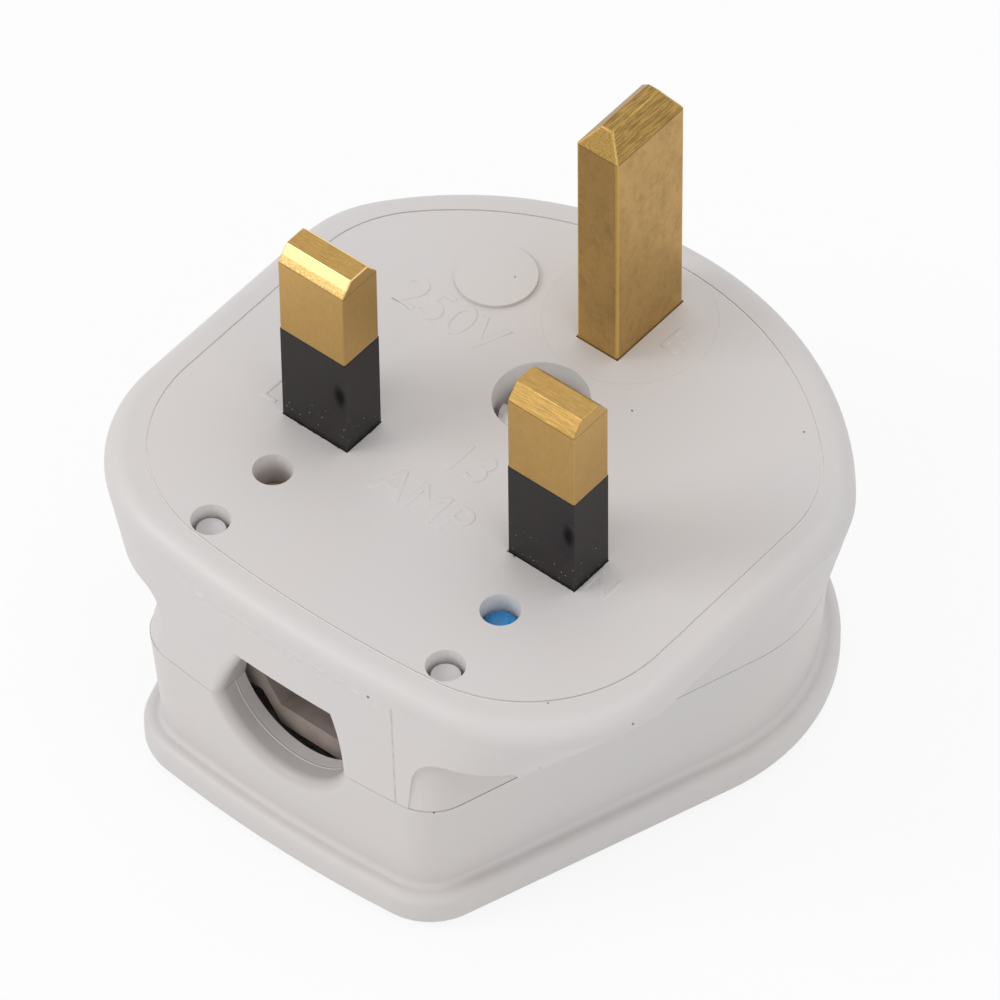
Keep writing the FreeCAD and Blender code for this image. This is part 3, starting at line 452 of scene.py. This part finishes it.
# Faint raised pin letters and plain ratings on the face, in millimetres
faceMarks = {
    "raise": 0.06, "sink": 0.20, "round": 0.12, "roundSteps": 3, "thin": 0.06,
    # name, words, middle, height of the type
    "marks": [("markL", "L", (-16.3, -0.6), 3.4), ("markN", "N", (15.5, -0.3), 3.4),
              ("markE", "E", (4.2, 22.6), 3.6), ("markVolts", "250V", (-10.9, 13.7), 4.6),
              ("markThirteen", "13", (0.1, 2.9), 4.2), ("markAmp", "AMP", (-0.3, -2.3), 4.4)],
}


def raisedMark(name, words, place, tall):
    m = faceMarks
    curve = bpy.data.curves.new(name, "FONT")
    curve.body = words
    curve.size = tall * mm
    curve.align_x = "CENTER"
    curve.align_y = "CENTER"
    curve.extrude = ((m["raise"] + m["sink"]) / 2 - m["round"]) * mm
    curve.bevel_depth = m["round"] * mm
    curve.bevel_resolution = m["roundSteps"]
    curve.offset = -m["thin"] * mm
    text = bpy.data.objects.new(name + "Text", curve)
    bpy.context.collection.objects.link(text)
    mesh = bpy.data.meshes.new_from_object(text)
    bpy.data.objects.remove(text)
    middle = Vector((*place, (m["raise"] - m["sink"]) / 2)) * mm
    mesh.transform(Matrix.Translation(middle))
    mesh.shade_smooth()
    mesh.name = name
    mesh.materials.clear()
    mesh.materials.append(finishes["base"])
    piece = bpy.data.objects.new(name, mesh)
    bpy.context.collection.objects.link(piece)
    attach(piece, "root")


for mark in faceMarks["marks"]:
    raisedMark(*mark)
print("raised marks")

# Floor and world; the floor lies a hair under the plug, so that the two don't flicker. Sizes in metres
stageSet = {
    "floorSize": 3.0, "floor": (0.88, 0.88, 0.88), "floorFar": (0.86, 0.86, 0.86), "glow": 0.86,
    "drop": 0.00002, "sky": 0.735, "skyColour": (1.0, 0.995, 0.995, 1.0), "white": (1.0, 1.0, 1.0, 1.0),
}


def seenDirectly(tree):
    # 1 for what the camera sees, also in gloss and through glass
    rays = tree.nodes.new("ShaderNodeLightPath")
    names = ["Is Camera Ray", "Is Glossy Ray", "Is Transmission Ray"]
    total = rays.outputs[names[0]]
    for name in names[1:]:
        larger = tree.nodes.new("ShaderNodeMath")
        larger.operation = "MAXIMUM"
        tree.links.new(total, larger.inputs[0])
        tree.links.new(rays.outputs[name], larger.inputs[1])
        total = larger.outputs[0]
    return total


def floorFinish():
    # pale floor: the camera sees it mostly as its own white, and the rest takes the shadow
    f = Finish("paleFloor")
    sheen = f.ease(f.noise(0.004), 0.2, 0.8)
    f.set({"Base Color": f.mix(sheen, stageSet["floorFar"], stageSet["floor"]), "Roughness": 0.9,
           "Specular IOR Level": 0.1})
    glow = f.node("ShaderNodeEmission", {}, {"Color": stageSet["white"], "Strength": 1.0})
    seen = Wire(f, seenDirectly(f.tree))
    both = f.node("ShaderNodeMixShader", {}, [seen * stageSet["glow"], Wire(f, f.shader.outputs[0]), glow])
    f.tree.links.new(both.socket, f.tree.nodes["Material Output"].inputs["Surface"])
    return f.material


floorMesh = bpy.data.meshes.new("floor")
shape = bmesh.new()
bmesh.ops.create_grid(shape, x_segments=1, y_segments=1, size=stageSet["floorSize"] / 2)
bmesh.ops.translate(shape, verts=shape.verts, vec=(0, 0, cadBox[0].z - stageSet["drop"]))
shape.to_mesh(floorMesh)
shape.free()
floorMesh.materials.append(floorFinish())
floor = bpy.data.objects.new("floor", floorMesh)
bpy.context.collection.objects.link(floor)

world = bpy.data.worlds.new("studio")
bpy.context.scene.world = world
world.use_nodes = True
sky = world.node_tree.nodes["Background"]
sky.inputs["Color"].default_value = stageSet["skyColour"]
sky.inputs["Strength"].default_value = stageSet["sky"]
backdrop = world.node_tree.nodes.new("ShaderNodeBackground")
backdrop.inputs["Color"].default_value = stageSet["white"]
either = world.node_tree.nodes.new("ShaderNodeMixShader")
skyLinks = world.node_tree.links
skyLinks.new(seenDirectly(world.node_tree), either.inputs[0])
skyLinks.new(sky.outputs[0], either.inputs[1])
skyLinks.new(backdrop.outputs[0], either.inputs[2])
skyLinks.new(either.outputs[0], world.node_tree.nodes["World Output"].inputs["Surface"])

lamps = [  # name, where from, distance, size, power, colour
    ("keyLamp", (-0.55, -0.60, 0.62), 0.60, 0.30, 0.95, (1.0, 0.995, 0.985)),
    ("topLamp", (0.10, 0.25, 1.0), 0.70, 0.50, 0.60, (1.0, 1.0, 1.0)),
    ("sideLamp", (0.80, -0.25, 0.45), 0.70, 0.45, 0.34, (1.0, 1.0, 1.0)),
]
for name, towards, distance, size, power, colour in lamps:
    lamp = bpy.data.lights.new(name, "AREA")
    lamp.shape = "DISK"
    lamp.size = size
    lamp.energy = power
    lamp.color = colour
    holder = bpy.data.objects.new(name, lamp)
    bpy.context.collection.objects.link(holder)
    outwards = Vector(towards).normalized()
    holder.location = outwards * distance
    holder.rotation_euler = (-outwards).to_track_quat("-Z", "Y").to_euler()

# The camera was solved from the standard pin sizes: angles in degrees, focal length in the photo's pixels
cameraSet = {
    "azimuth": 40.0638, "elevation": 48.1979, "roll": -0.7178, "distance": 0.728886, "focal": 9623.54,
    "slideX": -0.0010031, "slideY": 0.0039318, "target": (0, 0.005, 0), "photoWidth": 1000, "sensor": 36.0,
    "near": 0.05, "far": 20.0,
}
azimuth = math.radians(cameraSet["azimuth"])
elevation = math.radians(cameraSet["elevation"])
back = Vector((math.sin(azimuth) * math.cos(elevation), -math.cos(azimuth) * math.cos(elevation),
               math.sin(elevation)))
right = Vector((math.cos(azimuth), math.sin(azimuth), 0))
upwards = back.cross(right)
roll = Matrix.Rotation(math.radians(cameraSet["roll"]), 3, "Z")
turned = Matrix((right, upwards, back)).transposed() @ roll
away = Vector((-cameraSet["slideX"], -cameraSet["slideY"], cameraSet["distance"]))
camera = bpy.data.objects.new("camera", bpy.data.cameras.new("camera"))
bpy.context.collection.objects.link(camera)
camera.matrix_world = Matrix.Translation(Vector(cameraSet["target"]) + turned @ away) @ turned.to_4x4()
camera.data.sensor_width = cameraSet["sensor"]
camera.data.lens = cameraSet["focal"] * cameraSet["sensor"] / cameraSet["photoWidth"]
camera.data.clip_start = cameraSet["near"]
camera.data.clip_end = cameraSet["far"]
bpy.context.scene.camera = camera
bpy.context.scene.view_settings.view_transform = "Standard"
print("stage, lamps and camera")
